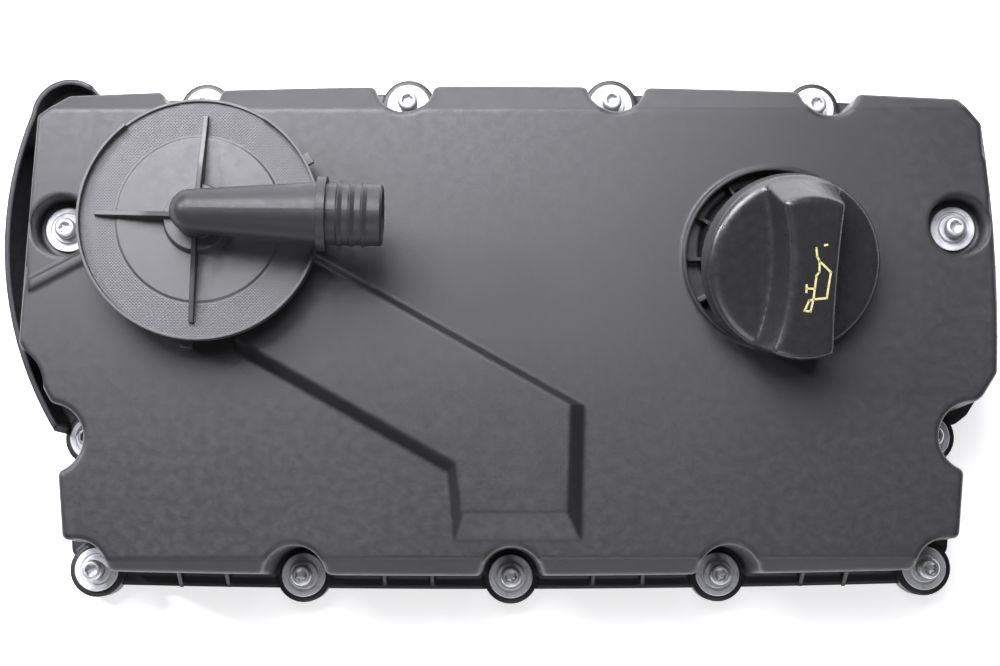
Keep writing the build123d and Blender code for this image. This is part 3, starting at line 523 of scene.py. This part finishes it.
# --------------------------------------------------------------------------- sub-assemblies
@dataclass
class Fasteners:
    """The captive star-socket bolts and their washers, measured in millimetres."""

    plan: BoltPlan = field(default_factory=BoltPlan)
    washer_z: float = 13.2
    washer_r: float = 9.25
    washer_t: float = 1.0
    washer_play: float = 0.2
    ring_r: float = 5.9
    ring_rise: float = 1.0
    groove_in: float = 0.2
    groove_out: float = 0.9
    groove_depth: float = 0.65
    shank_r: float = 3.4
    head_z: float = 22.2
    head_r: float = 4.3
    head_t: float = 4.4
    head_edge: float = 0.25
    socket_r: float = 2.25
    socket_depth: float = 2.6
    star_points: int = 6
    star_depth: float = 0.13
    thread_top: float = 8.6
    thread_pitch: float = 1.0
    thread_depth: float = 0.55
    thread_turns: int = 8
    bolt_steps: int = 36
    washer_steps: int = 56
    steel: Zinc = field(default_factory=lambda: Zinc("bolt_zinc", roughness=0.38, metallic=0.7))
    plate: Zinc = field(
        default_factory=lambda: Zinc(
            "washer_zinc", tone=(0.78, 0.79, 0.81), roughness=0.46, metallic=0.45
        )
    )

    def head(self, low: float) -> list[tuple[float, float]]:
        """Return the half section of a bolt's head.

        Args:
            low: The height of its underside.

        Returns:
            Radius and height of each point, from the socket's floor to the underside.
        """
        top, rim, mouth = low + self.head_t, self.head_r, self.socket_r
        floor = top - self.socket_depth
        socket = [(0.0, floor), (mouth * 0.7, floor), (mouth, floor + 0.2)]
        socket += [(mouth, top - self.head_edge), (mouth + 0.3, top)]
        crown = [(rim - 1.3, top), (rim - 0.7, top - 0.2), (rim - 0.2, top - 0.7), (rim, top - 1.4)]
        return socket + crown + [(rim, low + self.head_edge), (rim - self.head_edge, low)]

    def thread(self) -> list[tuple[float, float]]:
        """Return the half section of a bolt's shank and thread below its head."""
        crest, root = self.shank_r - 0.02, self.shank_r - self.thread_depth
        profile = [(self.shank_r, self.thread_top + 0.4)]
        for turn in range(self.thread_turns):
            height = self.thread_top - turn * self.thread_pitch
            profile += [(root, height), (crest, height - self.thread_pitch / 2)]
        return profile + [(self.shank_r - 0.9, 0.15), (0.0, 0.0)]

    def bolt(self, lift: float) -> bmesh.types.BMesh:
        """Return one bolt whose head stands higher by lift."""
        low = self.head_z + lift
        floor = low + self.head_t - self.socket_depth
        profile = self.head(low) + [(self.shank_r, low)] + self.thread()
        mesh = turned(profile, self.bolt_steps)
        for vert in mesh.verts:
            deep = vert.co.z <= (floor - 0.05) * MM
            if deep or vert.co.xy.length >= (self.socket_r + 0.1) * MM:
                continue
            bearing = math.atan2(vert.co.y, vert.co.x)
            vert.co.xy *= 1 + self.star_depth * math.cos(self.star_points * bearing)
        return mesh

    def washer(self) -> bmesh.types.BMesh:
        """Return one washer with its raised inner ring and groove."""
        base, rim, inner = self.washer_z, self.washer_r, self.ring_r
        flat = base + self.washer_t
        ring, bed = flat + self.ring_rise, flat - self.groove_depth
        bore = self.shank_r + self.washer_play
        profile = [(bore, base), (rim - 0.15, base), (rim, base + 0.2), (rim, flat - 0.25)]
        profile += [(rim - 0.25, flat), (inner + self.groove_out + 0.25, flat)]
        profile += [(inner + self.groove_out + 0.05, flat - 0.2), (inner + self.groove_out, bed)]
        profile += [(inner + self.groove_in, bed), (inner, bed + 0.2), (inner, ring - 0.35)]
        profile += [(inner - 0.3, ring), (bore + 0.3, ring), (bore, ring - 0.3), (bore, base)]
        return turned(profile, self.washer_steps)

    def build(self) -> list[bpy.types.Object]:
        """Build the bolts and washers and return them."""
        steel, plate = self.steel.material(), self.plate.material()
        flange, pockets = self.plan.flange(), self.plan.pockets()
        outer = finished(repeated(self.bolt(0.0), flange), "flange_bolt_set", steel)
        level = [(x, y, 0.0) for x, y, _ in pockets]
        raised = self.plan.pocket_lift - self.plan.pocket_sink
        deep = finished(repeated(self.bolt(raised), level), "pocket_bolt_set", steel)
        washers = finished(repeated(self.washer(), flange + pockets), "washer_set", plate)
        for piece, node, slot in (
            (outer, "flange_bolts", "bolt"),
            (deep, "pocket_bolts", "bolt"),
            (washers, "bolt_washers", "washer"),
        ):
            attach(piece, Body.COVER.value)
            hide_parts(node)
        return [outer, deep, washers]


@dataclass
class FillerCap:
    """The twist-off oil cap, softened all over, with an oil-can sign on its grip."""

    centre: Place = (107.7, 28.7, 60.0)
    tilt: float = 19.0
    bearing: float = -55.0
    grip_top: float = 44.0
    voxel: float = 0.0007
    softening: int = 24
    line: float = 0.8
    ink_lift: float = 0.05
    ink_thickness: float = 0.12
    finish: Plastic = field(
        default_factory=lambda: Plastic(
            "cap_plastic",
            (0.022, 0.022, 0.023),
            pale=1.15,
            roughness=0.31,
            specular=0.75,
            grain_depth=0.00002,
            edge=0.0004,
        )
    )
    ink: Ink = field(default_factory=lambda: Ink("sign_ink"))

    def seat(self) -> Matrix:
        """Return the matrix from the cap's own axes, in metres, to the part's."""
        lean, bearing = math.radians(self.tilt), math.radians(self.bearing)
        up = Vector(
            (math.sin(lean) * math.cos(bearing), math.sin(lean) * math.sin(bearing), math.cos(lean))
        )
        across = Vector((math.cos(lean), 0.0, -math.sin(lean) * math.cos(bearing))).normalized()
        along = up.cross(across)
        turn = Matrix((across, along, up)).transposed().to_4x4()
        return Matrix.Translation(Vector(self.centre) * MM) @ turn

    def soften(self, node: bpy.types.Object) -> bpy.types.Object:
        """Return a copy of the CAD cap with every edge and valley eased."""
        mesh = bmesh.new()
        mesh.from_mesh(node.data)
        piece = finished(mesh, "filler_cap_shell", self.finish.material())
        remesh = piece.modifiers.new("even", "REMESH")
        remesh.mode = "VOXEL"
        remesh.voxel_size = self.voxel
        smooth = piece.modifiers.new("ease", "SMOOTH")
        smooth.factor = 0.5
        smooth.iterations = self.softening
        shaped = piece.evaluated_get(bpy.context.evaluated_depsgraph_get())
        ready = bpy.data.meshes.new_from_object(shaped)
        piece.modifiers.clear()
        rough = piece.data
        piece.data = ready
        bpy.data.meshes.remove(rough)
        for face in ready.polygons:
            face.use_smooth = True
        return piece

    def stroke(self, mesh: bmesh.types.BMesh, path: list[tuple[float, float]], closed: bool) -> None:
        """Add one printed line of the sign.

        Args:
            mesh: The bmesh that takes it.
            path: The line's points on the grip, in millimetres.
            closed: Whether the last point joins the first.
        """
        height = (self.grip_top + self.ink_lift) * MM
        width, thickness = self.line * MM, self.ink_thickness * MM
        ends = zip(path, path[1:] + path[:1]) if closed else zip(path, path[1:])
        for start, end in ends:
            one, two = Vector((*start, 0.0)) * MM, Vector((*end, 0.0)) * MM
            run = two - one
            middle = (one + two) / 2
            middle.z = height
            place = self.seat() @ Matrix.Translation(middle)
            turn = Matrix.Rotation(math.atan2(run.y, run.x), 4, "Z")
            size = Matrix.Diagonal((run.length + width, width, thickness, 1.0))
            bmesh.ops.create_cube(mesh, size=1.0, matrix=place @ turn @ size)

    def sign(self) -> bpy.types.Object:
        """Return the oil-can sign on top of the grip."""
        mesh = bmesh.new()
        neck, heel = (3.2, 4.6), (1.9, -10.4)
        self.stroke(mesh, [(2.4, -1.2), heel, (7.3, -9.8), (8.2, 0.4), neck, (3.5, 0.4)], True)
        self.stroke(mesh, [neck, (2.1, 6.4), (1.5, 9.6)], False)
        self.stroke(mesh, [heel, (0.2, -11.0), (-1.4, -15.0), (1.1, -15.2), heel], False)
        self.stroke(mesh, [(2.1, -6.2), (-1.1, -6.2)], False)
        self.stroke(mesh, [(-1.3, -4.9), (-1.2, -7.6)], False)
        self.stroke(mesh, [(4.9, 10.9), (5.8, 11.1)], False)
        piece = finished(mesh, "oil_can_sign", self.ink.material())
        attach(piece, Body.CAP.value)
        return piece

    def build(self, node: bpy.types.Object) -> list[bpy.types.Object]:
        """Build the cap and its sign from the CAD cap and return them."""
        shell = self.soften(node)
        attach(shell, Body.CAP.value)
        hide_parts("filler_cap")
        return [shell, self.sign()]


@dataclass
class Mouldings:
    """The finishes of the nodes that stay as they were made."""

    shell: Plastic = field(
        default_factory=lambda: Plastic(
            "shell_plastic", (0.021, 0.0208, 0.0228), roughness=0.37, edge=0.0026, specular=0.55
        )
    )
    lid: LinedPlastic = field(
        default_factory=lambda: LinedPlastic(
            "lid_plastic", (0.05, 0.051, 0.054), roughness=0.42, edge=0.0005, specular=0.8
        )
    )
    inner: Plastic = field(default_factory=lambda: Plastic("inner_plastic", (0.04, 0.041, 0.045)))
    core: Plastic = field(default_factory=lambda: Plastic("core_plastic", (0.024, 0.024, 0.026)))
    steel: Zinc = field(default_factory=lambda: Zinc("sleeve_steel", roughness=0.38))
    rubber: Rubber = field(default_factory=lambda: Rubber("seal_rubber"))

    def dress(self, nodes: dict[str, bpy.types.Object]) -> None:
        """Give each CAD node its finish.

        Args:
            nodes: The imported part's nodes by name.
        """
        rubber, steel = self.rubber.material(), self.steel.material()
        inner, core = self.inner.material(), self.core.material()
        finishes = {
            "cover_shell": self.shell.material(),
            "breather_lid": self.lid.material(),
            "separator_plate": inner,
            "breather_plate": inner,
            "filler_cap_core": core,
            "bolt_sleeves": steel,
            "breather_spring": steel,
            "cover_gasket": rubber,
            "bolt_grommets": rubber,
            "breather_diaphragm": rubber,
            "filler_cap_seal": rubber,
        }
        for name, material in finishes.items():
            for slot in nodes[name].material_slots:
                slot.link = "OBJECT"
                slot.material = material
            LOG.info("dressed %s with %s", name, material.name)


# --------------------------------------------------------------------------- studio
@dataclass(frozen=True)
class Panel:
    """A square light panel: where it hangs and its side, in metres, and its power in watts."""

    name: str
    place: Place
    side: float
    power: float


@dataclass
class Studio:
    """Pale floor, soft light from the upper left and the camera."""

    eye: Place = (-7.409, -84.410, 870.0)
    lens: float = 71.945
    tilt: float = 0.10122
    roll: float = -0.00134
    pan: float = 0.00354
    floor_half: float = 4.0
    floor_drop: float = 0.0001
    floor_tone: float = 0.9
    floor_glow: float = 0.6
    sky: float = 0.06
    white: Colour = (1.0, 1.0, 1.0)
    tint: Colour = (1.0, 0.985, 1.05)
    aim: Place = (0.0, 0.0, 0.03)
    panels: tuple[Panel, ...] = (
        Panel("sheen_panel", (-0.36, 0.74, 1.25), 0.8, 33.0),
        Panel("rear_panel", (-0.1, 1.3, 0.5), 0.8, 10.0),
        Panel("key_lamp", (-1.1, 0.45, 0.95), 0.15, 12.0),
        Panel("top_panel", (0.06, 0.4, 1.35), 0.5, 3.6),
        Panel("front_fill", (0.1, -1.1, 0.8), 0.8, 5.0),
    )

    def camera(self) -> None:
        """Place the camera and make it the scene's own."""
        ahead = Vector((0, math.sin(self.tilt), -math.cos(self.tilt)))
        above = Vector((0, math.cos(self.tilt), math.sin(self.tilt)))
        right = Vector((1, 0, 0))
        right, ahead = (
            math.cos(self.pan) * right - math.sin(self.pan) * ahead,
            math.cos(self.pan) * ahead + math.sin(self.pan) * right,
        )
        right, above = (
            math.cos(self.roll) * right + math.sin(self.roll) * above,
            math.cos(self.roll) * above - math.sin(self.roll) * right,
        )
        data = bpy.data.cameras.new("camera")
        data.sensor_fit = "HORIZONTAL"
        data.sensor_width = 36.0
        data.lens = self.lens
        data.clip_start = 0.01
        rig = bpy.data.objects.new("camera", data)
        bpy.context.scene.collection.objects.link(rig)
        turn = Matrix((right, above, -ahead)).transposed().to_4x4()
        rig.matrix_world = Matrix.Translation(Vector(self.eye) * MM) @ turn
        bpy.context.scene.camera = rig

    def hang(self, panel: Panel) -> None:
        """Hang a light panel so that it faces the part."""
        data = bpy.data.lights.new(panel.name, "AREA")
        data.shape = "SQUARE"
        data.size = panel.side
        data.energy = panel.power
        data.color = self.tint
        light = bpy.data.objects.new(panel.name, data)
        bpy.context.scene.collection.objects.link(light)
        facing = Vector(self.aim) - Vector(panel.place)
        light.rotation_euler = facing.to_track_quat("-Z", "Y").to_euler()
        light.location = panel.place

    def lay_floor(self) -> None:
        """Lay a large pale floor just under the part."""
        paper = Nodes("paper")
        paper.shader.inputs["Base Color"].default_value = (*[self.floor_tone] * 3, 1.0)
        paper.shader.inputs["Roughness"].default_value = 0.9
        paper.shader.inputs["Specular IOR Level"].default_value = 0.1
        paper.shader.inputs["Emission Color"].default_value = (*self.white, 1.0)
        paper.shader.inputs["Emission Strength"].default_value = self.floor_glow
        mesh = bmesh.new()
        drop = Matrix.Translation((0.0, 0.0, -self.floor_drop))
        bmesh.ops.create_grid(mesh, x_segments=2, y_segments=2, size=self.floor_half, matrix=drop)
        floor = finished(mesh, "floor", paper.material)

    def light_sky(self) -> None:
        """Give the scene a dim white sky."""
        world = bpy.data.worlds.new("studio")
        world.use_nodes = True
        back = world.node_tree.nodes["Background"]
        back.inputs["Color"].default_value = (*self.white, 1.0)
        back.inputs["Strength"].default_value = self.sky
        bpy.context.scene.world = world

    def build(self) -> None:
        """Build the floor, the lights and the camera."""
        self.lay_floor()
        for panel in self.panels:
            self.hang(panel)
        self.light_sky()
        self.camera()
        bpy.context.scene.view_settings.view_transform = "Standard"


def main() -> None:
    """Load the frame and build each sub-assembly in order."""
    logging.basicConfig(level=logging.INFO, format="%(name)s: %(message)s")
    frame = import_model()
    Studio().build()
    Mouldings().dress(frame["nodes"])
    for piece in Fasteners().build() + FillerCap().build(frame["nodes"]["filler_cap"]):
        LOG.info("built %s with %d faces", piece.name, len(piece.data.polygons))


if __name__ == "__main__":
    main()
